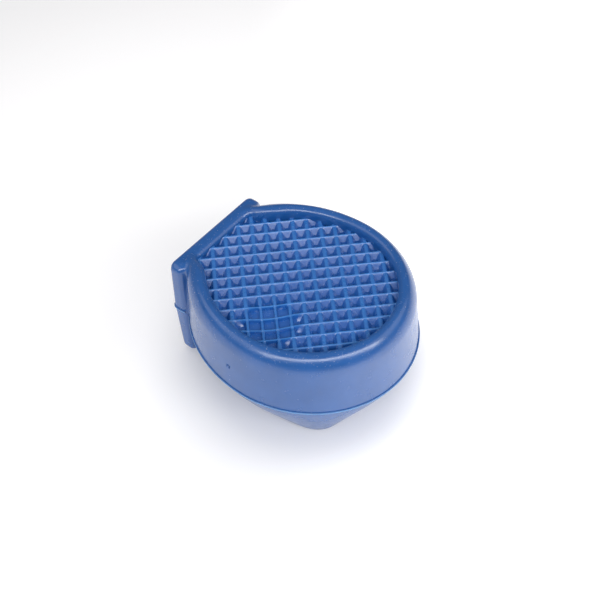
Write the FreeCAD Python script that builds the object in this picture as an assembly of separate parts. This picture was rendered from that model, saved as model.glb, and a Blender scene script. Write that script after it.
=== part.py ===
"""Case opening friction ball: a hollow one-colour rubber body with three gripping faces.

The body is an oval drum. Its top is a recessed face of square pits inside a rounded rim,
its rear carries a flat upright pad, and below the mould seam it narrows to a squarish foot.
Millimetres. +Z is up, +X points away from the pad, the foot stands on Z = 0 and the
origin is under the middle of the bounding box.
"""
import FreeCAD, Part
import math
import os

V = FreeCAD.Vector

# ---- driving dimensions ---------------------------------------------------------------
PITCH = 3.2                    # spacing of the square pits on the big face
PIT_DEPTH = 1.5                # depth of one pit below the ridge tops
RIDGE = 0.45                   # flat width left on top of a ridge
FACE_SHIFT = (0.2, 0.0)        # where a pit's centre lies from the oval's centre, in pitches

SEAM_Z = 16.3                  # height of the mould seam, the widest section
FACE_Z = 30.1                  # ridge tops of the big face
CREST_Z = 32.7                 # crest of the rim
FLOOR_T = 3.4                  # thickness of the big face, ridges included

SEAM_HALF_W = 24.5             # body half width at the seam
SEAM_FRONT = 26.4              # reach from the oval's centre to the front, at the seam
SEAM_BACK = 29.8               # reach to the back, before the pad cuts it off
TOP_DRAW_IN = 1.1              # how far the drum wall leans in from seam to crest
RIM_OUTER_R = 2.9              # rounding of the rim's outer shoulder
RIM_INNER_R = 1.3              # rounding of the rim's inner lip

FACE_HALF_W = 19.6             # recess half width
FACE_FRONT = 21.2              # recess reach to the front
FACE_BACK = 23.9               # recess reach to the back
NECK_HALF_W = 8.9              # half width of the recess where it runs up to the pad
WALL = 3.0                     # wall of the hollow body

PAD_INNER = 24.7               # pad's inner face, behind the oval's centre
PAD_T = 4.6                    # pad thickness
PAD_HALF_W = 14.7              # pad half width
PAD_BOTTOM_Z = 0.7             # pad bottom, just clear of the surface
PAD_TOP_Z = 30.8               # pad top
PAD_DRAFT = 0.35               # how far each pad surface leans in, from the seam to its edge
PAD_CORNER_R = 1.6             # rounding of the pad's four corners
PAD_EDGE_R = 0.7               # rounding of its edges
RIB_PITCH = 2.4                # spacing of the pad's upright ribs
RIB_DEPTH = 1.0                # height of the ribs
PANEL_MARGIN = 2.6             # smooth border left round the ribs
PANEL_DEPTH = 2.0              # depth of the pocket that holds them

FOOT_HALF_W = 15.7             # foot half width, at its bowed sides
FOOT_BOW = 29.0                # reach of the oval that the bowed sides follow
FOOT_FRONT = 15.9              # flat front edge, ahead of the oval's centre
FOOT_BACK = 17.6               # flat back edge
FOOT_CORNER = 7.0              # sharpness of the foot's four corners
LOWER_BOW = 1.25               # how the lower wall bows out; 1 would be straight
LOWER_LEVELS = 6               # sections that define the lower wall
FOOT_T = 4.2                   # thickness of the foot's floor
FOOT_EDGE_R = 0.9              # rounding of the foot's bottom edge
FOOT_BORDER = 3.4              # flat border that the body stands on
FOOT_PITCH = 2.4               # spacing of the foot's finer pits
FOOT_PIT_DEPTH = 0.9
FOOT_RECESS = 0.5              # how far the foot's pits sit above the border
FOOT_POCKET = 2.2              # depth of the pocket that holds them

FLASH_OUT = 0.3                # how far the seam's flash stands proud
FLASH_T = 0.45                 # its thickness
VENT_R = 0.45                  # air vent through the drum wall
VENT_ANGLE = -96.8             # its bearing from +X, in degrees
VENT_Z = 22.9                  # its height

OUTLINE_STEPS = 72             # points that define an outline curve
ROUND_STEPS = 6                # steps in each rounding of the rim
BIG = 200.0

# the oval's centre lies ahead of the origin, so that the box is centred on the origin
CENTRE_X = (PAD_INNER + PAD_T + FLASH_OUT - SEAM_FRONT - FLASH_OUT) / 2.0
UNDER_Z = FACE_Z - FLOOR_T     # underside of the big face


def closed_curve(pts):
    """Smooth closed wire through points."""
    curve = Part.BSplineCurve()
    curve.interpolate(pts, PeriodicFlag=True)
    return Part.Wire([curve.toShape()])


def bearings():
    """Evenly spaced directions around the oval's centre, as cosine and sine."""
    for i in range(OUTLINE_STEPS):
        a = 2.0 * math.pi * i / OUTLINE_STEPS
        yield math.cos(a), math.sin(a)


def outline(half_w, front, back, z):
    """Egg-shaped wire: half ellipses ahead of and behind the widest line."""
    pts = []
    for c, s in bearings():
        reach = front if c > 0 else back
        pts.append(V(CENTRE_X + reach * c, half_w * s, z))
    return closed_curve(pts)


def foot_radius(c, s, inset):
    """Distance from the centre to the foot's edge: bowed sides, flat front and back."""
    oval = 1.0 / math.hypot(c / (FOOT_BOW - inset), s / (FOOT_HALF_W - inset))
    flat = (FOOT_FRONT if c > 0 else FOOT_BACK) - inset
    cut = flat / max(abs(c), 1e-6)
    return (oval ** -FOOT_CORNER + cut ** -FOOT_CORNER) ** (-1.0 / FOOT_CORNER)


def lower_line(z, inset):
    """The lower wall's outline at a height: the foot opens out to the seam, bowed a little."""
    share = 1.0 - (1.0 - z / SEAM_Z) ** LOWER_BOW
    pts = []
    for c, s in bearings():
        r = foot_radius(c, s, inset)
        reach = (SEAM_FRONT if c > 0 else SEAM_BACK) - inset
        half_w = SEAM_HALF_W - inset
        pts.append(V(CENTRE_X + c * (r + (reach - r) * share), s * (r + (half_w - r) * share), z))
    return closed_curve(pts)


def prism(wire, height):
    """Straight solid above a closed wire."""
    return Part.Face(wire).extrude(V(0, 0, height))


def between(wires):
    """Ruled solid through a stack of closed wires."""
    return Part.makeLoft(wires, True, True)


def block(x0, x1, y0, y1, z0, z1):
    """Box from its limits."""
    return Part.makeBox(x1 - x0, y1 - y0, z1 - z0, V(x0, y0, z0))


def one_solid(shape):
    """The single solid in a boolean result."""
    solids = shape.removeSplitter().Solids
    if len(solids) != 1:
        print("warning: expected one solid, got", len(solids))
    return max(solids, key=lambda s: s.Volume)


def ahead_of(x):
    """Half space in front of the plane X = x, seen from the oval's centre."""
    return block(CENTRE_X + x, BIG, -BIG, BIG, -BIG, BIG)


def slab(z0, z1):
    """Everything between two heights."""
    return block(-BIG, BIG, -BIG, BIG, z0, z1)


def frustum(x0, x1, y, z0, z1, lean, z_mid):
    """Upright plate, widest at z_mid, leaning in on its outer face and ends above and below."""
    halves = []
    for z_end in (z0, z1):
        wires = []
        for z, inset in ((z_mid, 0.0), (z_end, lean)):
            corners = [
                V(x0 + inset, -y + inset, z),
                V(x1, -y + inset, z),
                V(x1, y - inset, z),
                V(x0 + inset, y - inset, z),
            ]
            wires.append(Part.makePolygon(corners + corners[:1]))
        halves.append(between(wires))
    return one_solid(halves[0].fuse(halves[1]))


def pit(side, depth, z_top, sign):
    """Pyramid with its base at z_top and its point below (sign -1) or above (sign +1)."""
    h = side / 2.0
    lift = 0.2 * depth
    grow = h * (1.0 + lift / depth)
    base_z = z_top - sign * lift
    base = [
        V(-grow, -grow, base_z),
        V(grow, -grow, base_z),
        V(grow, grow, base_z),
        V(-grow, grow, base_z),
    ]
    tip = V(0, 0, z_top + sign * depth)
    faces = [Part.Face(Part.makePolygon(base + base[:1]))]
    for i in range(4):
        tri = [base[i], base[(i + 1) % 4], tip, base[i]]
        faces.append(Part.Face(Part.makePolygon(tri)))
    return Part.Solid(Part.Shell(faces))


def pit_field(pitch, side, depth, z_top, sign, reach, keep, turn, shift=(0.0, 0.0)):
    """Square grid of pits turned by an angle, kept where keep(x, y) is true."""
    tool = pit(side, depth, z_top, sign)
    tool.rotate(V(0, 0, 0), V(0, 0, 1), turn)
    c = math.cos(math.radians(turn))
    s = math.sin(math.radians(turn))
    pits = []
    for i in range(-reach, reach + 1):
        for j in range(-reach, reach + 1):
            gx = (i + shift[0]) * pitch
            gy = (j + shift[1]) * pitch
            x = CENTRE_X + gx * c - gy * s
            y = gx * s + gy * c
            if keep(x, y):
                copy = tool.copy()
                copy.translate(V(x, y, 0))
                pits.append(copy)
    return Part.makeCompound(pits)


def inside_oval(x, y, half_w, front, back):
    """True where a point lies within an egg-shaped outline."""
    dx = x - CENTRE_X
    reach = front if dx > 0 else back
    return (dx / reach) ** 2 + (y / half_w) ** 2 < 1.0


def wall_line(z, inset):
    """The drum wall's outline at a height, drawn in by an inset."""
    lean = TOP_DRAW_IN * (z - SEAM_Z) / (CREST_Z - SEAM_Z) + inset
    return outline(SEAM_HALF_W - lean, SEAM_FRONT - lean, SEAM_BACK - lean, z)


def recess_line(z, flare):
    """The recess's outline at a height, opened out by a flare."""
    return outline(FACE_HALF_W + flare, FACE_FRONT + flare, FACE_BACK + flare, z)


# ---- outlines -------------------------------------------------------------------------
seam_line = outline(SEAM_HALF_W, SEAM_FRONT, SEAM_BACK, SEAM_Z)
crest_line = wall_line(CREST_Z, 0.0)

# ---- drum: outer wall, rim and recess -------------------------------------------------
drum = between([seam_line, crest_line])
outer_stack = [wall_line(UNDER_Z, 0.0), wall_line(CREST_Z - RIM_OUTER_R, 0.0)]
recess_stack = [recess_line(UNDER_Z - 0.5, 0.0), recess_line(CREST_Z - RIM_INNER_R, 0.0)]
for step in range(1, ROUND_STEPS + 1):
    turn = 0.5 * math.pi * step / ROUND_STEPS
    rise = math.sin(turn)
    draw = 1.0 - math.cos(turn)
    outer_stack.append(
        wall_line(CREST_Z - RIM_OUTER_R * (1.0 - rise), RIM_OUTER_R * draw)
    )
    recess_stack.append(
        recess_line(CREST_Z - RIM_INNER_R * (1.0 - rise), RIM_INNER_R * draw)
    )
recess_stack.append(recess_line(CREST_Z + 1.0, RIM_INNER_R + 0.5))
ring = between(outer_stack).cut(between(recess_stack))
neck = block(
    CENTRE_X - PAD_INNER,
    CENTRE_X - FACE_BACK / 2.0,
    -NECK_HALF_W,
    NECK_HALF_W,
    UNDER_Z - 1.0,
    BIG,
)
rim_bead = one_solid(ring.cut(neck).common(ahead_of(-PAD_INNER)))

# ---- upper wall, hollow, with its vent ------------------------------------------------
upper = drum.common(slab(SEAM_Z, UNDER_Z)).common(ahead_of(-PAD_INNER))
hollow_top = between([
    outline(SEAM_HALF_W - WALL, SEAM_FRONT - WALL, SEAM_BACK - WALL, SEAM_Z - 0.1),
    outline(SEAM_HALF_W - WALL - 0.3, SEAM_FRONT - WALL - 0.3, SEAM_BACK - WALL, UNDER_Z + 0.1),
]).common(ahead_of(-PAD_INNER + WALL))
vent = Part.makeCylinder(VENT_R, BIG, V(CENTRE_X, 0, VENT_Z), V(1, 0, 0))
vent.rotate(V(CENTRE_X, 0, VENT_Z), V(0, 0, 1), VENT_ANGLE)
upper_shell = one_solid(upper.cut(hollow_top).cut(vent))

# ---- big face -------------------------------------------------------------------------
panel = prism(outline(FACE_HALF_W, FACE_FRONT, FACE_BACK, UNDER_Z), FLOOR_T)
panel = panel.fuse(
    block(
        CENTRE_X - PAD_INNER,
        CENTRE_X - FACE_BACK / 2.0,
        -NECK_HALF_W,
        NECK_HALF_W,
        UNDER_Z,
        FACE_Z,
    )
).common(ahead_of(-PAD_INNER))


def on_face(x, y):
    """True where a pit, whole or cut by the recess wall, belongs to the big face."""
    out = 0.5 * PITCH
    oval = inside_oval(x, y, FACE_HALF_W + out, FACE_FRONT + out, FACE_BACK + out)
    behind = CENTRE_X - PAD_INNER - out < x < CENTRE_X and abs(y) < NECK_HALF_W + out
    return oval or behind


face_pits = pit_field(
    PITCH, PITCH - RIDGE, PIT_DEPTH, FACE_Z, -1, 9, on_face, 45.0, FACE_SHIFT
)
grip_face = one_solid(panel.cut(face_pits))

# ---- lower wall, hollow ---------------------------------------------------------------
levels = [SEAM_Z * i / (LOWER_LEVELS - 1) for i in range(LOWER_LEVELS)]
lower = between([lower_line(z, 0.0) for z in levels]).common(ahead_of(-PAD_INNER))
hollow_low = between([lower_line(z, WALL) for z in levels]).common(ahead_of(-PAD_INNER + WALL))
lower_shell = one_solid(lower.cut(hollow_low).common(slab(FOOT_T, SEAM_Z)))

# ---- foot -----------------------------------------------------------------------------
foot = lower.common(slab(0.0, FOOT_T))
low_edges = [e for e in foot.Edges if e.BoundBox.ZMax < 0.01]
foot = foot.makeFillet(FOOT_EDGE_R, low_edges)
pocket = prism(lower_line(0.0, FOOT_BORDER), FOOT_POCKET)
foot_pad = one_solid(foot.cut(pocket))
foot_panel = pocket.common(slab(FOOT_RECESS, FOOT_POCKET))


def on_foot(x, y):
    """True where a fine pit belongs to the foot."""
    r = math.hypot(x - CENTRE_X, y)
    if r < 1.0:
        return True
    return r < foot_radius((x - CENTRE_X) / r, y / r, FOOT_BORDER + 1.2)


foot_pits = pit_field(
    FOOT_PITCH, FOOT_PITCH - RIDGE, FOOT_PIT_DEPTH, FOOT_RECESS, 1, 9, on_foot, 45.0
)
foot_grip = one_solid(foot_panel.cut(foot_pits))

# ---- side pad -------------------------------------------------------------------------
pad_x1 = CENTRE_X - PAD_INNER
pad_x0 = pad_x1 - PAD_T
pad = frustum(pad_x0, pad_x1, PAD_HALF_W, PAD_BOTTOM_Z, PAD_TOP_Z, PAD_DRAFT, SEAM_Z)
corner_edges = []
for edge in pad.Edges:
    box = edge.BoundBox
    at_end = box.ZMax < PAD_BOTTOM_Z + 0.01 or box.ZMin > PAD_TOP_Z - 0.01
    if at_end and box.XLength > PAD_T - 2.0 * PAD_DRAFT and box.YLength < 0.5:
        corner_edges.append(edge)
pad = pad.makeFillet(PAD_CORNER_R, corner_edges)
rim_edges = []
for edge in pad.Edges:
    box = edge.BoundBox
    seam_edge = abs(box.ZMin - SEAM_Z) < 0.01 and abs(box.ZMax - SEAM_Z) < 0.01
    outer = box.XMax < pad_x0 + PAD_DRAFT + 0.01
    if outer and not seam_edge:
        rim_edges.append(edge)
pad = pad.makeFillet(PAD_EDGE_R, rim_edges)
panel_y = PAD_HALF_W - PANEL_MARGIN
panel_z0 = PAD_BOTTOM_Z + PANEL_MARGIN
panel_z1 = PAD_TOP_Z - PANEL_MARGIN
pad_pocket = block(pad_x0 - 1.0, pad_x0 + PANEL_DEPTH, -panel_y, panel_y, panel_z0, panel_z1)
side_pad = one_solid(pad.cut(pad_pocket))

# upright ribs, so that the mould halves can draw off them
rib_x = pad_x0 + PAD_DRAFT + 0.15
back_x = pad_x0 + PANEL_DEPTH
profile = [V(back_x, -panel_y, panel_z0), V(rib_x + RIB_DEPTH, -panel_y, panel_z0)]
count = int(2.0 * panel_y / RIB_PITCH)
step = 2.0 * panel_y / count
for i in range(count):
    y = -panel_y + i * step
    profile.append(V(rib_x, y + 0.42 * step, panel_z0))
    profile.append(V(rib_x, y + 0.58 * step, panel_z0))
    profile.append(V(rib_x + RIB_DEPTH, y + step, panel_z0))
profile.append(V(back_x, panel_y, panel_z0))
side_grip = Part.Face(Part.makePolygon(profile + profile[:1]))
side_grip = side_grip.extrude(V(0, 0, panel_z1 - panel_z0))

# ---- flash along the mould seam -------------------------------------------------------
flash_z0 = SEAM_Z - FLASH_T / 2.0
drum_band = prism(
    outline(
        SEAM_HALF_W + FLASH_OUT,
        SEAM_FRONT + FLASH_OUT,
        SEAM_BACK + FLASH_OUT,
        flash_z0,
    ),
    FLASH_T,
).common(ahead_of(-PAD_INNER))
pad_band = block(
    pad_x0 - FLASH_OUT,
    pad_x1,
    -PAD_HALF_W - FLASH_OUT,
    PAD_HALF_W + FLASH_OUT,
    flash_z0,
    flash_z0 + FLASH_T,
)
body_core = prism(outline(SEAM_HALF_W, SEAM_FRONT, SEAM_BACK, flash_z0 - 1.0), FLASH_T + 2.0)
pad_core = block(pad_x0, pad_x1, -PAD_HALF_W, PAD_HALF_W, flash_z0 - 1.0, flash_z0 + 2.0)
drum_flash = one_solid(drum_band.cut(body_core))
pad_flash = one_solid(pad_band.cut(pad_core))

# ---- one file per piece ---------------------------------------------------------------
os.makedirs("parts", exist_ok=True)
pieces = {
    "grip_face": grip_face,
    "rim_bead": rim_bead,
    "upper_shell": upper_shell,
    "drum_flash": drum_flash,
    "lower_shell": lower_shell,
    "foot_pad": foot_pad,
    "foot_grip": foot_grip,
    "side_pad": side_pad,
    "side_grip": side_grip,
    "pad_flash": pad_flash,
}
for name, shape in pieces.items():
    shape.exportStep("parts/" + name + ".step")
    box = shape.BoundBox
    print(name, shape.ShapeType, shape.isValid(), round(shape.Volume), "mm3",
          [round(v, 1) for v in (box.XMin, box.XMax, box.YMin, box.YMax, box.ZMin, box.ZMax)])
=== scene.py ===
"""Case opening friction ball: the visible pieces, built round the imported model.

Shapes are worked out in millimetres in the frame's own axes, and become metres when their
meshes are made. +X points away from the pad and the foot stands on Z = 0. The curved skin
is one distance field that all its pieces share, so that they meet flush where they part.
"""

import math

import bmesh
import bpy
import numpy as np
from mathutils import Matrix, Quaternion, Vector


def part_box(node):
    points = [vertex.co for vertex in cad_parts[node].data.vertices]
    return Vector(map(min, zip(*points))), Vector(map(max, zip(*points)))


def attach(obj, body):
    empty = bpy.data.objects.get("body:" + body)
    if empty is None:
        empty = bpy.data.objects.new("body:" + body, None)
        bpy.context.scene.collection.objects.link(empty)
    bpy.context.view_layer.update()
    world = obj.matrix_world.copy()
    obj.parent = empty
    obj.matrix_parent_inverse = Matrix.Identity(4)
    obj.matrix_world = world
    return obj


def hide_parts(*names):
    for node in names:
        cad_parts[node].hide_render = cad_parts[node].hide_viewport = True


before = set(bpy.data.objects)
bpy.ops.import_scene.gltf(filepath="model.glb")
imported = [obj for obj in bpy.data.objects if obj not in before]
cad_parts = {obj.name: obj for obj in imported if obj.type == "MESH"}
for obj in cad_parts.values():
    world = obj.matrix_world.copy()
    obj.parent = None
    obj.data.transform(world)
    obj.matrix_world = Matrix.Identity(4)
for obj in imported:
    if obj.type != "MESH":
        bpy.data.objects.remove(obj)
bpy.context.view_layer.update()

MM = 0.001


def node_box(name):
    """Lowest and highest corner of a CAD node, in millimetres."""
    low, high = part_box(name)
    return np.array(low) / MM, np.array(high) / MM


# ---- sizes, in millimetres --------------------------------------------------------------
FACE_LOW, FACE_HIGH = node_box("grip_face")
RIM_HIGH = node_box("rim_bead")[1]
LOWER_LOW, LOWER_HIGH = node_box("lower_shell")
PAD_LOW, PAD_HIGH = node_box("side_pad")
RIBS_LOW, RIBS_HIGH = node_box("side_grip")
PITS_LOW, PITS_HIGH = node_box("foot_grip")

CENTRE_X = 1.45                # the oval's widest line
SEAM_Z = LOWER_HIGH[2]         # mould seam, the widest section
UNDER_Z = FACE_LOW[2]          # underside of the big face
FACE_Z = FACE_HIGH[2]          # ridge tops of the big face
CREST_Z = RIM_HIGH[2]          # crest of the rim
PAD_X = PAD_HIGH[0]            # where the pad meets the drum

SEAM_HALF_W = LOWER_HIGH[1]
SEAM_FRONT = LOWER_HIGH[0] - CENTRE_X
SEAM_BACK = 29.8               # reach to the back, before the pad cuts it off
TOP_DRAW_IN = 1.1              # how far the wall leans in from seam to crest
RIM_OUTER_R = 5.4              # rounding of the rim's outer shoulder
RIM_END_R = 2.4                # the same where the rim runs into the pad
RIM_INNER_R = 2.6              # rounding of the rim's inner lip
RIM_RISE = 1.03                # how far the two roundings cut below their common height
RIM_DIP = 1.6                  # how far the rim sinks where it runs into the pad
RIM_DIP_RUN = 9.0              # over this length
FACE_HALF_W = FACE_HIGH[1]
FACE_FRONT = FACE_HIGH[0] - CENTRE_X
FACE_BACK = 23.9               # reach of the recess's oval to the back
NECK_HALF_W = 8.9              # half width of the recess where it reaches the pad
NECK_R = 4.0                   # rounding between the recess's oval and its neck
WALL = 3.0                     # thickness of the shells
CAVITY_LAP = 0.2               # how far the air space is cut on past the shells' ends

FOOT_HALF_W = 15.7
FOOT_BOW = 29.0                # reach of the foot's bowed sides, before its ends cut them
FOOT_FRONT = 15.9
FOOT_BACK = 17.6
FOOT_CORNER = 7.0              # how square the foot's corners are, 2 being an ellipse
LOWER_BOW = 1.25               # how full the wall is between the foot and the seam
FOOT_T = LOWER_LOW[2]          # thickness of the foot's floor
FOOT_EDGE_R = 0.9              # rounding of the foot's bottom edge
FOOT_BORDER = 3.4              # width of the flat border that the object stands on
FOOT_POCKET = PITS_HIGH[2]     # height of the pocket inside that border

PAD_HALF_W = PAD_HIGH[1]
PAD_DRAFT = 0.35               # how far the pad's faces draw in from the seam to its ends
PAD_CORNER_R = 2.0
PAD_EDGE_R = 1.5
PAD_STUB = 0.15                # the drum reaches this far past the cut, into the pad
PAD_ROOT = 2.4                 # and its roundings die out within this much of the pad
FILLET = 0.7                   # rounding between the pad and the drum
RIM_FILLET = 2.0               # the same at the height of the rim's crest
POCKET_R = 0.8                 # corner of the pad's pocket

PITCH = 3.2                    # square pits of the big face
PIT_DEPTH = 1.90               # to the point where a pit's sides would meet
PIT_FLOOR = 1.3                # to its flat bottom
FACE_SHIFT = 0.2               # where a pit's centre lies from the oval's, in pitches
RIDGE_ALONG = 0.46             # half width of the ridges that run towards the pad's end
RIDGE_ACROSS = 0.14            # half width of the others
RIDGE_LOW = 0.10               # how much lower the first ones lie
RIDGE_ROUND = 0.10             # rounding of a ridge's edges and of a pit's corners
FACE_TURN = math.radians(45.0)  # from the oval's axis to the rows of pits, on both grips
WEAR_AND_HIGHLIGHT_DEPTH = 0.22              # the ridges are rubbed pale down to this depth, partly as a painted highlight
DISH_AT = (2.0, -13.0)         # a patch where the face has sunk and its pits are shallow
DISH_R = 8.0
DISH_SINK = 0.9                # how deep its middle has sunk
DISH_SPREAD = 2.5              # how soon its pits turn shallow, going in from its edge
DISH_FLOOR = 0.75              # depth of the shallow pits there
DISH_STEEP = 3.0               # how much steeper their sides are
DISH_THIN = 0.35               # share of their width that the wide ridges lose

FOOT_PITCH = 2.4               # finer pits of the foot
FOOT_PIT_DEPTH = 0.9
FOOT_PIT_ROUND = 0.1
RIB_DEPTH = 1.0                # upright ribs of the pad's outer face
RIB_COUNT = 10
RIB_STEPS = 16                 # mesh steps across a rib
RIB_TOP_R = 0.12               # flat and rounding on a rib's top, as a share of half its pitch
RIB_FADE = 0.9                 # the ribs sink over this much of their ends
RIB_END = 0.35                 # to this share of their height

VENT_R = 0.42                  # air vent through the wall
VENT_ANGLE = math.radians(-96.8)
VENT_Z = 22.9
FLASH_R = 0.29                 # half thickness of the flash along the seam
FLASH_SIDES = 12

CELL = 0.3                     # grid of the skin's mesh
OUT = 40.0                     # farther from the middle than any surface
LAP = 0.1                      # textured panels reach this far into their neighbours


# ---- distances ----------------------------------------------------------------------------
def round_max(a, b, r):
    """Greater of two distances, with a round edge of radius r where they meet."""
    reach = np.hypot(np.maximum(a + r, 0.0), np.maximum(b + r, 0.0))
    return np.minimum(np.maximum(a, b), -r) + reach


def round_min(a, b, r):
    """Lesser of two distances, with a fillet of radius r where they meet."""
    return -round_max(-a, -b, r)


def ease(t):
    """Smooth step from 0 to 1."""
    t = np.clip(t, 0.0, 1.0)
    return t * t * (3.0 - 2.0 * t)


def egg(x, y, half_w, front, back):
    """Distance from an egg-shaped outline of two half ellipses."""
    dx = x - CENTRE_X
    reach = np.where(dx > 0.0, front, back)
    p = np.hypot(dx / reach, y / half_w)
    g = np.hypot(dx / reach ** 2, y / half_w ** 2)
    return p * (p - 1.0) / np.maximum(g, 1e-9)


def drum_wall(x, y, z):
    """Distance from the leaning wall above the seam."""
    lean = TOP_DRAW_IN * (z - SEAM_Z) / (CREST_Z - SEAM_Z)
    return egg(x, y, SEAM_HALF_W - lean, SEAM_FRONT - lean, SEAM_BACK - lean)


def lower_wall(x, y, z, inset=0.0):
    """Distance from the wall below the seam, which narrows to the foot."""
    dx = x - CENTRE_X
    r = np.maximum(np.hypot(dx, y), 1e-6)
    c = dx / r
    s = y / r
    oval = np.hypot(c / (FOOT_BOW - inset), s / (FOOT_HALF_W - inset))
    cut = np.abs(c) / (np.where(c > 0.0, FOOT_FRONT, FOOT_BACK) - inset)
    foot = (oval ** FOOT_CORNER + cut ** FOOT_CORNER) ** (-1.0 / FOOT_CORNER)
    reach = np.where(c > 0.0, SEAM_FRONT, SEAM_BACK) - inset
    seam = 1.0 / np.hypot(c / reach, s / (SEAM_HALF_W - inset))
    share = 1.0 - (1.0 - np.clip(z / SEAM_Z, 0.0, 1.0)) ** LOWER_BOW
    return r - foot - (seam - foot) * share


def pad_plate(x, y, z):
    """Distance from the side pad, widest at the seam."""
    above = (z - SEAM_Z) / (PAD_HIGH[2] - SEAM_Z)
    below = (SEAM_Z - z) / (SEAM_Z - PAD_LOW[2])
    draft = PAD_DRAFT * np.maximum(above, below)
    side = np.abs(y) - PAD_HALF_W + draft
    ends = np.maximum(z - PAD_HIGH[2], PAD_LOW[2] - z)
    outline = round_max(side, ends, PAD_CORNER_R)
    faces = np.maximum(PAD_LOW[0] + draft - x, x - PAD_X + PAD_STUB)
    return round_max(outline, faces, PAD_EDGE_R)


def recess_wall(x, y):
    """Distance from the outline of the recess, whose neck runs up to the pad."""
    oval = egg(x, y, FACE_HALF_W, FACE_FRONT, FACE_BACK)
    neck = np.maximum(np.abs(y) - NECK_HALF_W, x - CENTRE_X + FACE_BACK / 2.0)
    return round_min(oval, neck, NECK_R)


def rim_field(x, y, z):
    """The rim round the recess, which sinks and squares up as it runs into the pad."""
    near = 1.0 - ease((x - PAD_X) / RIM_DIP_RUN)
    top = z - CREST_Z - RIM_RISE + RIM_DIP * near
    outer_r = RIM_OUTER_R + (RIM_END_R - RIM_OUTER_R) * near
    bead = round_max(drum_wall(x, y, z), top, outer_r)
    bead = round_max(bead, -recess_wall(x, y), RIM_INNER_R)
    fillet = FILLET + (RIM_FILLET - FILLET) * ease((z - UNDER_Z) / (CREST_Z - UNDER_Z))
    return round_min(bead, pad_plate(x, y, z), fillet)


def upper_field(x, y, z):
    """The drum above the seam, as if solid, with the pad."""
    return round_min(drum_wall(x, y, z), pad_plate(x, y, z), FILLET)


def lower_field(x, y, z):
    """The body below the seam, as if solid, with the pad."""
    body = round_max(lower_wall(x, y, z), -z, FOOT_EDGE_R)
    return round_min(body, pad_plate(x, y, z), FILLET)


def pad_field(x, y, z):
    """The pad with the roots of its fillets."""
    drum = np.where(z > UNDER_Z, rim_field(x, y, z), upper_field(x, y, z))
    joined = np.where(z > SEAM_Z, drum, lower_field(x, y, z))
    return np.where(x > PAD_X - PAD_ROOT, joined, pad_plate(x, y, z))


# ---- mesh making --------------------------------------------------------------------------
def new_piece(name, points, faces):
    """Mesh object from points in millimetres."""
    mesh = bpy.data.meshes.new(name)
    mesh.from_pydata((np.asarray(points) * MM).tolist(), [], [list(f) for f in faces])
    mesh.update()
    piece = bpy.data.objects.new(name, mesh)
    bpy.context.scene.collection.objects.link(piece)
    return piece


def corner(grid, offset):
    """The grid seen from one corner of each of its cells."""
    window = [slice(o, n - 1 + o) for o, n in zip(offset, grid.shape)]
    return grid[tuple(window)]


def pull(points, field):
    """Points moved onto the surface where the field is zero."""
    h = 0.02                   # half the step that the field's slope is measured over
    least_slope = 0.05         # squared, so that a flat spot throws no point far
    for _ in range(3):
        value = field(*points.T)
        slope = np.empty_like(points)
        for axis in range(3):
            step = np.zeros(3)
            step[axis] = h
            slope[:, axis] = (field(*(points + step).T) - field(*(points - step).T)) / (2.0 * h)
        steep = np.maximum((slope ** 2).sum(1), least_slope)
        move = -slope * (value / steep)[:, None]
        length = np.maximum(np.linalg.norm(move, axis=1), 1e-9)
        points = points + move * np.minimum(1.0, 0.5 * CELL / length)[:, None]
    return points


def skin(name, field, low, high):
    """Closed quad mesh of a field's zero surface inside a box, by surface nets."""
    low = np.array(low, float)
    high = np.array(high, float)
    first = np.floor(low / CELL).astype(int) - 2
    last = np.ceil(high / CELL).astype(int) + 2
    axes = [np.arange(a, b + 1) * CELL for a, b in zip(first, last)]
    place = np.meshgrid(*axes, indexing="ij")
    value = field(*place)
    for axis in range(3):
        value = np.maximum(value, np.maximum(low[axis] - place[axis], place[axis] - high[axis]))
    inside = value < 0.0
    cells = tuple(n - 1 for n in value.shape)
    total = np.zeros(cells + (3,))
    hits = np.zeros(cells)
    for axis in range(3):
        b, c = (axis + 1) % 3, (axis + 2) % 3
        for ob in (0, 1):
            for oc in (0, 1):
                start = [0, 0, 0]
                start[b] = ob
                start[c] = oc
                end = list(start)
                end[axis] = 1
                v0 = corner(value, start)
                v1 = corner(value, end)
                crossed = corner(inside, start) != corner(inside, end)
                share = np.where(crossed, v0 / np.where(crossed, v0 - v1, 1.0), 0.0)
                total[..., axis] += share
                total[..., b] += crossed * ob
                total[..., c] += crossed * oc
                hits += crossed
    used = hits > 0
    number = np.full(cells, -1)
    number[used] = np.arange(used.sum())
    where = np.argwhere(used)
    points = (where + total[used] / hits[used][:, None] + first) * CELL
    faces = []
    for axis in range(3):
        b, c = (axis + 1) % 3, (axis + 2) % 3
        start = [slice(None)] * 3
        end = [slice(None)] * 3
        start[axis] = slice(0, -1)
        end[axis] = slice(1, None)
        crossed = inside[tuple(start)] != inside[tuple(end)]
        edges = np.argwhere(crossed)
        outward = inside[tuple(start)][crossed]
        quads = []
        for ob, oc in ((1, 1), (0, 1), (0, 0), (1, 0)):
            at = edges.copy()
            at[:, b] -= ob
            at[:, c] -= oc
            quads.append(number[tuple(at.T)])
        quads = np.stack(quads, 1)
        quads[~outward] = quads[~outward][:, ::-1]
        faces.append(quads)
    faces = np.concatenate(faces)
    keep = np.all((points > low + CELL) & (points < high - CELL), axis=1)
    points[keep] = pull(points[keep], field)
    return new_piece(name, points, faces)


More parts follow.
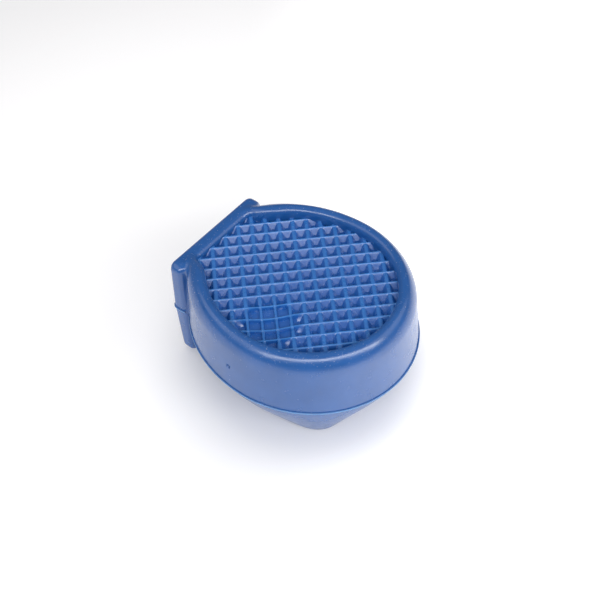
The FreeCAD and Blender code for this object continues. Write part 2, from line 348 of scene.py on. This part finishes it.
def combine(piece, tool, operation):
    """Boolean of a piece with a closed tool, which is used up."""
    cut = piece.modifiers.new("combine", "BOOLEAN")
    cut.object = tool
    cut.operation = operation
    cut.solver = "MANIFOLD"
    bpy.context.view_layer.update()
    graph = bpy.context.evaluated_depsgraph_get()
    mesh = bpy.data.meshes.new_from_object(piece.evaluated_get(graph))
    piece.modifiers.clear()
    drop_folds(mesh)
    piece.data = mesh
    mesh.name = piece.name
    bpy.data.objects.remove(tool)
    return piece


def drop_folds(mesh):
    """Take out points that only two edges meet at: a cut leaves flat folds behind them."""
    work = bmesh.new()
    work.from_mesh(mesh)
    bmesh.ops.dissolve_verts(work, verts=[v for v in work.verts if len(v.link_edges) == 2])
    work.to_mesh(mesh)
    work.free()


def stack(name, rings):
    """Closed solid through rings of points, each ring given from below upwards."""
    count = len(rings[0])
    points = np.concatenate(rings)
    faces = [tuple(reversed(range(count)))]
    for level in range(len(rings) - 1):
        for i in range(count):
            j = (i + 1) % count
            a = level * count
            faces.append((a + i, a + j, a + count + j, a + count + i))
    faces.append(tuple(range((len(rings) - 1) * count, len(rings) * count)))
    return new_piece(name, points, faces)


def block(low, high):
    """Plain box, used only to cut with."""
    x0, y0, z0 = low
    x1, y1, z1 = high
    ring = np.array([(x0, y0), (x1, y0), (x1, y1), (x0, y1)])
    return stack("block", [level(ring, z0), level(ring, z1)])


def level(ring, z):
    """Flat ring of points lifted to a height."""
    return np.column_stack([ring, np.full(len(ring), z)])


def traced(outline, count=240):
    """Ring of points where an outline's distance is zero, seen from the oval's centre."""
    a = 2.0 * math.pi * np.arange(count) / count
    near = np.zeros(count)
    far = np.full(count, 1.5 * OUT)
    for _ in range(40):        # halvings
        mid = (near + far) / 2.0
        value = outline(CENTRE_X + mid * np.cos(a), mid * np.sin(a))
        near = np.where(value < 0.0, mid, near)
        far = np.where(value < 0.0, far, mid)
    return np.column_stack([CENTRE_X + near * np.cos(a), near * np.sin(a)])


def finish_mesh(piece, angle=38.0):
    """Smooth shading, with edges that turn by more than an angle in degrees left sharp."""
    mesh = piece.data
    mesh.polygons.foreach_set("use_smooth", [True] * len(mesh.polygons))
    mesh.set_sharp_from_angle(angle=math.radians(angle))
    mesh.update()
    return piece


# ---- the drum's shells ----------------------------------------------------------------------
def cavity():
    """The air space inside, as a stack of outlines from the foot to the big face."""
    rings = []
    for z in np.linspace(FOOT_T, SEAM_Z, 7):
        rings.append(level(traced(lambda x, y: np.maximum(
            lower_wall(x, y, z, WALL), PAD_X + WALL - x)), z))
    rings.append(level(traced(lambda x, y: np.maximum(
        drum_wall(x, y, UNDER_Z) + WALL, PAD_X + WALL - x)), UNDER_Z))
    rings[0][:, 2] -= CAVITY_LAP
    rings[-1][:, 2] += CAVITY_LAP
    return stack("cavity", rings)


def slice_of(piece, z0, z1):
    """The part of a piece between two heights, ahead of the pad."""
    return combine(piece, block((PAD_X, -OUT, z0), (OUT, OUT, z1)), "INTERSECT")


def make_rim_bead():
    piece = skin("rim_bead", rim_field, (PAD_X - 1, -OUT, UNDER_Z - 1), (OUT, OUT, OUT))
    return finish_mesh(slice_of(piece, UNDER_Z, OUT))


def vent_pin():
    """Pin that opens the air vent through the wall, flared at its mouth."""
    sides = 32
    a = 2.0 * math.pi * np.arange(sides) / sides
    out = np.array([math.cos(VENT_ANGLE), math.sin(VENT_ANGLE), 0.0])
    side = np.array([-out[1], out[0], 0.0])
    up = np.array([0.0, 0.0, 1.0])
    centre = np.array([CENTRE_X, 0.0, VENT_Z])
    wall = SEAM_HALF_W - TOP_DRAW_IN * (VENT_Z - SEAM_Z) / (CREST_Z - SEAM_Z)
    rings = []
    for reach, r in ((-5.0, VENT_R), (-0.35, VENT_R), (-0.1, VENT_R * 1.3), (0.4, VENT_R * 2.2)):
        rim = r * (np.cos(a)[:, None] * side + np.sin(a)[:, None] * up)
        rings.append(centre + out * (wall + reach) + rim)
    return stack("vent_pin", rings)


def make_upper_shell():
    piece = skin("upper_shell", upper_field, (PAD_X - 1, -OUT, SEAM_Z - 1), (OUT, OUT, UNDER_Z + 1))
    piece = slice_of(piece, SEAM_Z, UNDER_Z)
    piece = combine(piece, cavity(), "DIFFERENCE")
    return finish_mesh(combine(piece, vent_pin(), "DIFFERENCE"))


def make_lower_shell():
    piece = skin("lower_shell", lower_field, (PAD_X - 1, -OUT, FOOT_T - 1), (OUT, OUT, SEAM_Z + 1))
    piece = slice_of(piece, FOOT_T, SEAM_Z)
    return finish_mesh(combine(piece, cavity(), "DIFFERENCE"))


def foot_edge(inset):
    """Outline of the foot drawn in by an inset."""
    return traced(lambda x, y: lower_wall(x, y, np.zeros_like(x), inset))


def make_foot_pad():
    piece = skin("foot_pad", lower_field, (PAD_X - 1, -OUT, -2), (OUT, OUT, FOOT_T + 1))
    piece = slice_of(piece, -1.0, FOOT_T)
    rings = [
        level(foot_edge(FOOT_BORDER - 1.0), -0.5),
        level(foot_edge(FOOT_BORDER - 0.25), 0.25),
        level(foot_edge(FOOT_BORDER), 0.7),
        level(foot_edge(FOOT_BORDER), FOOT_POCKET),
    ]
    return finish_mesh(combine(piece, stack("pocket", rings), "DIFFERENCE"))


def make_side_pad():
    piece = skin("side_pad", pad_field, (-OUT, -OUT, -OUT), (PAD_X + 1, OUT, OUT))
    piece = combine(piece, block((-OUT, -OUT, -OUT), (PAD_X, OUT, OUT)), "INTERSECT")
    return finish_mesh(combine(piece, pad_pocket(), "DIFFERENCE"))


def rounded_rectangle(y, z, r, steps=8):
    """Ring of (y, z) points round a rectangle with round corners, centred on Y = 0."""
    z0, z1 = z
    ring = []
    for cy, cz, start in ((y - r, z1 - r, 0), (r - y, z1 - r, 90), (r - y, z0 + r, 180),
                          (y - r, z0 + r, 270)):
        for i in range(steps + 1):
            a = math.radians(start + 90.0 * i / steps)
            ring.append((cy + r * math.cos(a), cz + r * math.sin(a)))
    return np.array(ring)


def pad_ring(x, grow):
    """Outline of the pad's pocket at a depth, opened out a little."""
    ring = rounded_rectangle(RIBS_HIGH[1] + grow, (RIBS_LOW[2] - grow, RIBS_HIGH[2] + grow),
                             POCKET_R + max(grow, 0.0))
    return np.column_stack([np.full(len(ring), x), ring])


def pad_pocket():
    """The pocket in the pad's outer face."""
    rings = [pad_ring(PAD_LOW[0] - 0.5, 0.9), pad_ring(PAD_LOW[0] + 0.45, 0.25),
             pad_ring(PAD_LOW[0] + 0.9, 0.0), pad_ring(RIBS_HIGH[0], 0.0)]
    return stack("pad_pocket", [r[::-1] for r in reversed(rings)])


# ---- textured panels -------------------------------------------------------------------------
def sample_line(pitch, ridge, low, high, shift, foot=0.6):
    """Places across ridges, close together where the surface turns.

    A pit's slope ends at the share foot of the way to the pit's middle.
    """
    half = pitch / 2.0
    slope = np.array([0.0, 0.07, 0.2, 0.4, 1.0]) * foot
    side = np.concatenate([[0.0, 0.5 * ridge], ridge + (half - ridge) * slope, [half]])
    one = np.concatenate([side, pitch - side[-2:0:-1]])
    first = int(math.floor(low / pitch)) - 1
    last = int(math.ceil(high / pitch)) + 1
    line = np.concatenate([one + (n + 0.5 + shift) * pitch for n in range(first, last)])
    return line[(line > low - pitch) & (line < high + pitch)]


def from_ridge(place, pitch, shift):
    """Distance to the nearest ridge line; ridges lie half a pitch from the pits' middles."""
    phase = place / pitch - shift + 0.5
    return np.abs((phase + 0.5) % 1.0 - 0.5) * pitch


def closed_sheet(name, sheet, back, faces, nu, nv, mirrored=False):
    """Closed solid between a grid of nu by nv points, with its faces, and a flat copy of it."""
    n = nu * nv
    number = np.arange(n).reshape(nu, nv)
    edge = np.concatenate([number[:, 0], number[-1, 1:], number[-2::-1, -1], number[0, -2:0:-1]])
    faces = [tuple(f) for f in faces]
    for a, b in zip(edge, np.roll(edge, -1)):
        faces.append((a, b, b + n, a + n) if mirrored else (b, a, a + n, b + n))
    faces.append(tuple(edge + n) if mirrored else tuple((edge + n)[::-1]))
    used = np.concatenate([np.arange(n), edge + n])
    index = np.full(2 * n, -1)
    index[used] = np.arange(len(used))
    points = np.concatenate([sheet, back])[used]
    return new_piece(name, points, [tuple(index[list(f)]) for f in faces])


def height_sheet(name, u, v, top, base):
    """Closed solid under a height field on a grid of u and v, turned about the oval's centre."""
    nu, nv = len(u), len(v)
    uu, vv = np.meshgrid(u, v, indexing="ij")
    c, s = math.cos(FACE_TURN), math.sin(FACE_TURN)
    x = CENTRE_X + uu * c - vv * s
    y = uu * s + vv * c
    z = top(x, y, uu, vv)
    upper = np.stack([x, y, z], -1).reshape(-1, 3)
    lower = upper.copy()
    lower[:, 2] = base
    number = np.arange(nu * nv).reshape(nu, nv)
    p00, p10 = number[:-1, :-1].ravel(), number[1:, :-1].ravel()
    p11, p01 = number[1:, 1:].ravel(), number[:-1, 1:].ravel()
    # each quad is split along the crease between two faces of its pit
    height = z.ravel()
    along = np.abs(height[p00] - height[p11]) >= np.abs(height[p10] - height[p01])
    tris = np.concatenate([
        np.stack([p00, p10, p11], 1)[along], np.stack([p00, p11, p01], 1)[along],
        np.stack([p00, p10, p01], 1)[~along], np.stack([p10, p11, p01], 1)[~along],
    ])
    return closed_sheet(name, upper, lower, tris, nu, nv)


def face_height(x, y, u, v):
    """Height of the big face: flat-bottomed pits between ridges, shallow in the sunken patch."""
    across = from_ridge(u, PITCH, FACE_SHIFT)
    along = from_ridge(v, PITCH, 0.0)
    patch = sunken(x, y)
    shallow = ease(DISH_SPREAD * patch)
    thick = RIDGE_ALONG * (1.0 - DISH_THIN * shallow)
    steep = 1.0 + (DISH_STEEP - 1.0) * shallow
    half = PITCH / 2.0
    low = np.full_like(across, RIDGE_LOW)
    fall = low + steep * (PIT_DEPTH - RIDGE_LOW) / (half - thick) * (across - thick)
    fall = round_max(fall, low, RIDGE_ROUND)
    drop = steep * PIT_DEPTH / (half - RIDGE_ACROSS) * (along - RIDGE_ACROSS)
    drop = round_max(drop, np.zeros_like(drop), 0.5 * RIDGE_ROUND)
    floor = PIT_FLOOR + (DISH_FLOOR - PIT_FLOOR) * shallow
    depth = np.minimum(round_min(fall, drop, RIDGE_ROUND), floor)
    return FACE_Z - np.maximum(depth, 0.0) - DISH_SINK * patch


def sunken(x, y):
    """Share of the dish at a place on the big face, 1 at its middle."""
    return 1.0 - ease(np.hypot(x - DISH_AT[0], y - DISH_AT[1]) / DISH_R)


def mark_wear_and_highlight(piece, drop):
    """Stores each point's wear and painted highlight, from its depth below the ridges' tops."""
    count = len(piece.data.vertices)
    co = np.zeros(3 * count)
    piece.data.vertices.foreach_get("co", co)
    depth = drop(*(co.reshape(count, 3).T / MM))
    store_wear_and_highlight(piece, np.clip(1.0 - depth / WEAR_AND_HIGHLIGHT_DEPTH, 0.0, 1.0))


def store_wear_and_highlight(piece, share):
    """Gives each point its share of wear and painted highlight, which the rubber's colour and gloss
    follow.
    """
    piece.data.attributes.new("wear_and_highlight", "FLOAT", "POINT").data.foreach_set("value", share)


def make_grip_face():
    reach = 26.0
    u = sample_line(PITCH, RIDGE_ALONG, -reach, reach, FACE_SHIFT,
                    (PIT_FLOOR - RIDGE_LOW) / (PIT_DEPTH - RIDGE_LOW))
    v = sample_line(PITCH, RIDGE_ACROSS, -reach, reach, 0.0, PIT_FLOOR / PIT_DEPTH)
    piece = height_sheet("grip_face", u, v, face_height, UNDER_Z - 1.0)
    ring = traced(lambda x, y: np.maximum(recess_wall(x, y) - 2.0 * LAP, PAD_X - LAP - x), 360)
    piece = combine(piece, stack("recess", [level(ring, UNDER_Z), level(ring, OUT)]), "INTERSECT")
    # ridge tops painted pale: partly rubbed wear, partly a painted highlight
    mark_wear_and_highlight(piece, lambda x, y, z: FACE_Z - DISH_SINK * sunken(x, y) - z)
    return finish_mesh(piece, 30.0)


def foot_height(x, y, u, v):
    """Depth of the foot's fine pits, upside down."""
    across = from_ridge(u, FOOT_PITCH, 0.0)
    along = from_ridge(v, FOOT_PITCH, 0.0)
    slope = FOOT_PIT_DEPTH / (FOOT_PITCH / 2.0 - RIDGE_ACROSS)
    fall = slope * (across - RIDGE_ACROSS)
    drop = slope * (along - RIDGE_ACROSS)
    pit = round_min(fall, drop, FOOT_PIT_ROUND)
    depth = round_max(pit, np.zeros_like(fall), FOOT_PIT_ROUND)
    return -PITS_LOW[2] - np.maximum(depth, 0.0)


def make_foot_grip():
    reach = 20.0
    line = sample_line(FOOT_PITCH, RIDGE_ACROSS, -reach, reach, 0.0)
    piece = height_sheet("foot_grip", line, line, foot_height, -FOOT_POCKET - 1.0)
    ring = foot_edge(FOOT_BORDER - LAP)
    ring[:, 1] *= -1.0
    tool = stack("foot_outline", [level(ring[::-1], -FOOT_POCKET), level(ring[::-1], 1.0)])
    piece = combine(piece, tool, "INTERSECT")
    # turned over about X, so that the pits open downwards
    mesh = piece.data
    co = np.zeros(len(mesh.vertices) * 3)
    mesh.vertices.foreach_get("co", co)
    co = co.reshape(-1, 3) * (1.0, -1.0, -1.0)
    mesh.vertices.foreach_set("co", co.ravel())
    mark_wear_and_highlight(piece, lambda x, y, z: z - PITS_LOW[2])
    return finish_mesh(piece, 60.0)


def make_side_grip():
    """Upright ribs in the pad's pocket, rounded along their tops."""
    pitch = (RIBS_HIGH[1] - RIBS_LOW[1]) / RIB_COUNT
    y = np.linspace(RIBS_LOW[1] - LAP, RIBS_HIGH[1] + LAP, RIB_COUNT * RIB_STEPS + 1)
    wave = np.abs(((y - RIBS_LOW[1]) / pitch) % 1.0 - 0.5) * 2.0
    out = RIB_DEPTH * (1.0 - round_max(wave, np.full_like(wave, RIB_TOP_R), RIB_TOP_R))
    z = np.linspace(RIBS_LOW[2] - LAP, RIBS_HIGH[2] + LAP, 49)
    end = np.minimum(z - RIBS_LOW[2], RIBS_HIGH[2] - z)
    tall = RIB_END + (1.0 - RIB_END) * ease((end + LAP) / RIB_FADE)
    depth = RIBS_LOW[0] + RIB_DEPTH - np.outer(np.maximum(out, 0.0), tall)
    yy, zz = np.meshgrid(y, z, indexing="ij")
    front = np.stack([depth, yy, zz], -1).reshape(-1, 3)
    back = front.copy()
    back[:, 0] = RIBS_HIGH[0] + LAP
    nu, nv = yy.shape
    number = np.arange(nu * nv).reshape(nu, nv)
    quads = np.stack([number[:-1, :-1], number[:-1, 1:], number[1:, 1:], number[1:, :-1]], -1)
    piece = closed_sheet("side_grip", front, back, quads.reshape(-1, 4), nu, nv, mirrored=True)
    mark_wear_and_highlight(piece, lambda x, y, z: x - RIBS_LOW[0])
    return finish_mesh(piece, 60.0)


# ---- flash -----------------------------------------------------------------------------------
def bead_along(name, path, outward, radius):
    """Fine rounded bead along a line, tapering at its ends, with a painted highlight on its lower
    side.
    """
    sides = FLASH_SIDES
    count = len(path)
    rings = []
    a = 2.0 * math.pi * np.arange(sides) / sides
    for i in range(count):
        taper = min(1.0, 0.25 + 0.25 * min(i, count - 1 - i))
        r = radius * taper
        ring = path[i] + np.outer(np.cos(a) * r, outward[i]) + np.outer(np.sin(a) * r, (0, 0, 1.0))
        rings.append(ring)
    points = np.concatenate(rings)
    # painted highlight: the bead's lower side is painted pale
    wear_and_highlight_share = np.clip(0.9 - 1.2 * np.sin(a), 0.0, 1.0)
    faces = [tuple(range(sides))]
    for k in range(count - 1):
        for i in range(sides):
            j = (i + 1) % sides
            b = k * sides
            faces.append((b + j, b + i, b + sides + i, b + sides + j))
    faces.append(tuple(reversed(range((count - 1) * sides, count * sides))))
    piece = new_piece(name, points, faces)
    store_wear_and_highlight(piece, np.tile(wear_and_highlight_share, count))
    return finish_mesh(piece, 80.0)


def make_drum_flash():
    ring = traced(lambda x, y: drum_wall(x, y, SEAM_Z), 480)
    ring = ring[ring[:, 0] > PAD_X + 0.1]
    start = np.argmax(np.linalg.norm(np.diff(ring, axis=0, append=ring[:1]), axis=1)) + 1
    ring = np.roll(ring, -start, axis=0)
    path = level(ring, SEAM_Z)
    tangent = np.gradient(path, axis=0)
    outward = np.column_stack([tangent[:, 1], -tangent[:, 0], np.zeros(len(path))])
    outward /= np.linalg.norm(outward, axis=1)[:, None]
    return bead_along("drum_flash", path, outward, FLASH_R)


def make_pad_flash():
    x0, x1, y1 = PAD_LOW[0], PAD_X - PAD_STUB, PAD_HALF_W
    r = PAD_EDGE_R
    path = []
    outward = []
    for x in np.linspace(x1 - 0.3, x0 + r, 12)[:-1]:
        path.append((x, -y1))
        outward.append((0.0, -1.0))
    for a in np.linspace(-90.0, -180.0, 9):
        a = math.radians(a)
        path.append((x0 + r + r * math.cos(a), -y1 + r + r * math.sin(a)))
        outward.append((math.cos(a), math.sin(a)))
    for y in np.linspace(-y1 + r, y1 - r, 40)[1:-1]:
        path.append((x0, y))
        outward.append((-1.0, 0.0))
    for a in np.linspace(180.0, 90.0, 9):
        a = math.radians(a)
        path.append((x0 + r + r * math.cos(a), y1 - r + r * math.sin(a)))
        outward.append((math.cos(a), math.sin(a)))
    for x in np.linspace(x0 + r, x1 - 0.3, 12)[1:]:
        path.append((x, y1))
        outward.append((0.0, 1.0))
    path = level(np.array(path), SEAM_Z)
    outward = level(np.array(outward), 0.0)
    return bead_along("pad_flash", path, outward, FLASH_R)


# ---- materials ---------------------------------------------------------------------------------
DUST = (0.30, 0.36, 0.52, 1.0)
DULLING = 0.15                 # how much rougher the places marked worn and painted-highlighted are, at full strength
GRAIN_HEIGHT = 0.00003         # metres
SLOW_SHARE = 3.0               # strength of the slow waves against the fine grain


def rubber(name, deep, pale, roughness, grain, specks, wear_and_highlight_share, scuff_and_highlight):
    """Moulded rubber: faint mottling, a fine grain in gloss and bump, a few dust specks, and
    places made pale and dull where the mesh says so: rubbed wear, partly a painted highlight.
    """
    material = bpy.data.materials.new(name)
    material.use_nodes = True
    nodes = material.node_tree.nodes
    links = material.node_tree.links
    shader = nodes["Principled BSDF"]
    shader.inputs["IOR"].default_value = 1.5
    shader.inputs["Specular IOR Level"].default_value = 0.9
    where = nodes.new("ShaderNodeTexCoord")

    def noise(scale, detail, rough=0.55):
        node = nodes.new("ShaderNodeTexNoise")
        node.inputs["Scale"].default_value = scale
        node.inputs["Detail"].default_value = detail
        node.inputs["Roughness"].default_value = rough
        links.new(where.outputs["Object"], node.inputs["Vector"])
        return node

    def span(source, low, high, to_low, to_high):
        node = nodes.new("ShaderNodeMapRange")
        node.inputs["From Min"].default_value = low
        node.inputs["From Max"].default_value = high
        node.inputs["To Min"].default_value = to_low
        node.inputs["To Max"].default_value = to_high
        links.new(source, node.inputs["Value"])
        return node

    mottle = noise(160.0, 4.0)
    blend = nodes.new("ShaderNodeMix")
    blend.data_type = "RGBA"
    blend.inputs["A"].default_value = (*deep, 1.0)
    blend.inputs["B"].default_value = (*pale, 1.0)
    links.new(span(mottle.outputs["Fac"], 0.3, 0.7, 0.0, 1.0).outputs["Result"],
              blend.inputs["Factor"])
    dust = noise(3000.0, 1.0, 0.5)
    dusted = nodes.new("ShaderNodeMix")
    dusted.data_type = "RGBA"
    dusted.inputs["B"].default_value = DUST
    surface = nodes.new("ShaderNodeNewGeometry")
    facing = nodes.new("ShaderNodeSeparateXYZ")
    links.new(surface.outputs["Normal"], facing.inputs["Vector"])
    settled = nodes.new("ShaderNodeMath")
    settled.operation = "MULTIPLY"
    links.new(span(dust.outputs["Fac"], 0.69, 0.76, 0.0, specks).outputs["Result"],
              settled.inputs[0])
    links.new(span(facing.outputs["Z"], 0.1, 0.6, 0.05, 1.0).outputs["Result"], settled.inputs[1])
    links.new(settled.outputs["Value"], dusted.inputs["Factor"])
    links.new(blend.outputs["Result"], dusted.inputs["A"])

    # the mesh's marks: ridge tops rubbed pale, partly a painted highlight, and the flash's lower
    # side, a painted highlight
    wear_and_highlight = nodes.new("ShaderNodeAttribute")
    wear_and_highlight.attribute_name = "wear_and_highlight"
    patchy = span(noise(900.0, 3.0).outputs["Fac"], 0.3, 0.6, 0.6 * wear_and_highlight_share, wear_and_highlight_share)
    rubbed_and_highlit = nodes.new("ShaderNodeMath")
    rubbed_and_highlit.operation = "MULTIPLY"
    links.new(wear_and_highlight.outputs["Fac"], rubbed_and_highlit.inputs[0])
    links.new(patchy.outputs["Result"], rubbed_and_highlit.inputs[1])
    scuffed_and_highlit = nodes.new("ShaderNodeMix")
    scuffed_and_highlit.data_type = "RGBA"
    scuffed_and_highlit.inputs["B"].default_value = (*scuff_and_highlight, 1.0)
    links.new(rubbed_and_highlit.outputs["Value"], scuffed_and_highlit.inputs["Factor"])
    links.new(dusted.outputs["Result"], scuffed_and_highlit.inputs["A"])
    links.new(scuffed_and_highlit.outputs["Result"], shader.inputs["Base Color"])

    haze = noise(420.0, 5.0, 0.6)
    gloss = span(haze.outputs["Fac"], 0.3, 0.7, roughness - 0.05, roughness + 0.07)
    dull = nodes.new("ShaderNodeMath")
    dull.operation = "MULTIPLY_ADD"
    links.new(rubbed_and_highlit.outputs["Value"], dull.inputs[0])
    dull.inputs[1].default_value = DULLING
    links.new(gloss.outputs["Result"], dull.inputs[2])
    links.new(dull.outputs["Value"], shader.inputs["Roughness"])

    fine = noise(2600.0, 3.0)
    slow = noise(260.0, 2.0)
    relief = nodes.new("ShaderNodeMath")
    relief.operation = "MULTIPLY_ADD"
    links.new(slow.outputs["Fac"], relief.inputs[0])
    relief.inputs[1].default_value = SLOW_SHARE
    links.new(fine.outputs["Fac"], relief.inputs[2])
    bump = nodes.new("ShaderNodeBump")
    bump.inputs["Strength"].default_value = grain
    bump.inputs["Distance"].default_value = GRAIN_HEIGHT
    links.new(relief.outputs["Value"], bump.inputs["Height"])
    links.new(bump.outputs["Normal"], shader.inputs["Normal"])
    return material


# on the body its pale mark shows only on the flash: a painted highlight on its lower side
body_rubber = rubber("rubber_body", deep=(0.010, 0.082, 0.290), pale=(0.015, 0.098, 0.335),
                     roughness=0.22, grain=0.35, specks=0.6, wear_and_highlight_share=0.95,
                     scuff_and_highlight=(0.13, 0.38, 0.70))
# on the grips its pale mark is ridge tops rubbed pale, partly a painted highlight
grip_rubber = rubber("rubber_grip", deep=(0.009, 0.084, 0.330), pale=(0.014, 0.100, 0.375),
                     roughness=0.24, grain=0.35, specks=0.25, wear_and_highlight_share=0.8,
                     scuff_and_highlight=(0.045, 0.23, 0.62))

BODY = "rubber_body"
GRIP = "rubber_grip"
PIECES = [
    (make_rim_bead, BODY), (make_upper_shell, BODY), (make_lower_shell, BODY),
    (make_foot_pad, BODY), (make_side_pad, BODY), (make_drum_flash, BODY),
    (make_pad_flash, BODY), (make_grip_face, GRIP), (make_foot_grip, GRIP),
    (make_side_grip, GRIP),
]
for make, slot in PIECES:
    piece = make()
    node = make.__name__.removeprefix("make_")
    piece.name = node + "_rubber"
    piece.data.materials.clear()
    piece.data.materials.append(body_rubber if slot == BODY else grip_rubber)
    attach(piece, "root")
    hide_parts(node)


# ---- floor, light and camera ---------------------------------------------------------------------
FRONT_WAY = (0.663, -0.749, 0.0)   # from the object towards the viewer
RIGHT_WAY = (0.777, 0.629, 0.0)    # from the object to the viewer's right
FLOOR_HALF = 3000.0            # millimetres
FLOOR_GAP = 0.01
LIGHT_AIM_Z = 0.02             # height that the lights aim at, in metres

CAMERA_AT = (113.16, -128.20, 222.10)
CAMERA_AIM = (-2.58, 2.40, 20.0)
CAMERA_ROLL = -3.3             # degrees
CAMERA_LENS = 68.7


def make_floor():
    """Large pale table top, whose tone varies with place, with painted shade and a painted glow."""
    side = FLOOR_HALF
    ring = np.array([(-side, -side), (side, -side), (side, side), (-side, side)])
    floor = new_piece("floor", level(ring, -FLOOR_GAP), [(0, 1, 2, 3)])
    material = bpy.data.materials.new("table_white")
    material.use_nodes = True
    nodes = material.node_tree.nodes
    links = material.node_tree.links
    shader = nodes["Principled BSDF"]
    shader.inputs["Roughness"].default_value = 0.55
    where = nodes.new("ShaderNodeTexCoord")
    cloud = nodes.new("ShaderNodeTexNoise")
    cloud.inputs["Scale"].default_value = 6.0
    links.new(where.outputs["Object"], cloud.inputs["Vector"])
    tone = nodes.new("ShaderNodeMix")
    tone.data_type = "RGBA"
    tone.inputs["A"].default_value = (0.85, 0.84, 0.84, 1.0)
    tone.inputs["B"].default_value = (0.89, 0.88, 0.88, 1.0)
    links.new(cloud.outputs["Fac"], tone.inputs["Factor"])

    def ramp(way, near, far, low, high):
        """Smooth step of the distance along a direction, or from the origin if there is none."""
        measure = nodes.new("ShaderNodeVectorMath")
        measure.operation = "DOT_PRODUCT" if way else "LENGTH"
        links.new(where.outputs["Object"], measure.inputs[0])
        if way:
            measure.inputs[1].default_value = way
        step = nodes.new("ShaderNodeMapRange")
        step.interpolation_type = "SMOOTHSTEP"
        step.inputs["From Min"].default_value = near
        step.inputs["From Max"].default_value = far
        step.inputs["To Min"].default_value = low
        step.inputs["To Max"].default_value = high
        links.new(measure.outputs["Value"], step.inputs["Value"])
        return step.outputs["Result"]

    def times(a, b):
        product = nodes.new("ShaderNodeMath")
        product.operation = "MULTIPLY"
        links.new(a, product.inputs[0])
        links.new(b, product.inputs[1])
        return product.outputs["Value"]

    # painted shade: darker towards the front, past the near edge of the view
    shade = nodes.new("ShaderNodeMix")
    shade.data_type = "RGBA"
    shade.inputs["A"].default_value = (0.3, 0.3, 0.31, 1.0)
    links.new(ramp(FRONT_WAY, 0.095, 0.17, 1.0, 0.0), shade.inputs["Factor"])
    links.new(tone.outputs["Result"], shade.inputs["B"])
    links.new(shade.outputs["Result"], shader.inputs["Base Color"])

    # painted light: a faint glow of the floor's own, though it is no lamp; weaker on the left and
    # far out, and hardly any beneath the object, which leaves painted shade there
    shader.inputs["Emission Color"].default_value = (1.0, 0.99, 1.0, 1.0)
    painted_glow_aside = ramp(RIGHT_WAY, -0.02, 0.05, 0.22, 0.9)
    painted_glow_by_distance = times(ramp(None, 0.018, 0.045, 0.05, 1.0), ramp(None, 0.10, 0.20, 1.0, 0.25))
    links.new(times(painted_glow_aside, painted_glow_by_distance), shader.inputs["Emission Strength"])
    floor.data.materials.append(material)
    return floor


def area_light(name, azimuth, elevation, distance, size, power, mirrored=True):
    """Soft rectangular light aimed at the object, its azimuth turning from +X towards +Y.

    A fill light isn't mirrored in glossy surfaces.
    """
    az, el = math.radians(azimuth), math.radians(elevation)
    way = Vector((math.cos(az) * math.cos(el), math.sin(az) * math.cos(el), math.sin(el)))
    light = bpy.data.lights.new(name, "AREA")
    light.shape = "RECTANGLE"
    light.size, light.size_y = size
    light.energy = power
    lamp = bpy.data.objects.new(name, light)
    lamp.location = way * distance + Vector((0, 0, LIGHT_AIM_Z))
    lamp.rotation_euler = (-way).to_track_quat("-Z", "Y").to_euler()
    lamp.visible_glossy = mirrored
    bpy.context.scene.collection.objects.link(lamp)


def make_camera():
    camera = bpy.data.cameras.new("camera")
    camera.lens = CAMERA_LENS
    camera.sensor_width = 36.0
    camera.clip_start = 0.01
    view = bpy.data.objects.new("camera", camera)
    place = Vector(CAMERA_AT) * MM
    aim = Vector(CAMERA_AIM) * MM
    roll = Quaternion((0, 0, 1), math.radians(CAMERA_ROLL))
    view.location = place
    view.rotation_euler = ((aim - place).to_track_quat("-Z", "Y") @ roll).to_euler()
    bpy.context.scene.collection.objects.link(view)
    bpy.context.scene.camera = view


make_floor()
make_camera()
area_light("near_tube", azimuth=-42.0, elevation=41.0, distance=1.0, size=(2.4, 0.28), power=11.6)
area_light("left_soft", azimuth=230.0, elevation=36.0, distance=0.9, size=(1.1, 0.6), power=1.8)
area_light("right_soft", azimuth=32.0, elevation=36.0, distance=0.9, size=(1.1, 0.6), power=1.8)
area_light("overhead_fill", azimuth=131.0, elevation=80.0, distance=1.2, size=(1.0, 1.0),
           power=4.4, mirrored=False)
world = bpy.data.worlds.new("studio")
world.use_nodes = True
world.node_tree.nodes["Background"].inputs["Color"].default_value = (0.93, 0.95, 1.0, 1.0)
world.node_tree.nodes["Background"].inputs["Strength"].default_value = 0.2
bpy.context.scene.world = world
bpy.context.scene.view_settings.view_transform = "Standard"
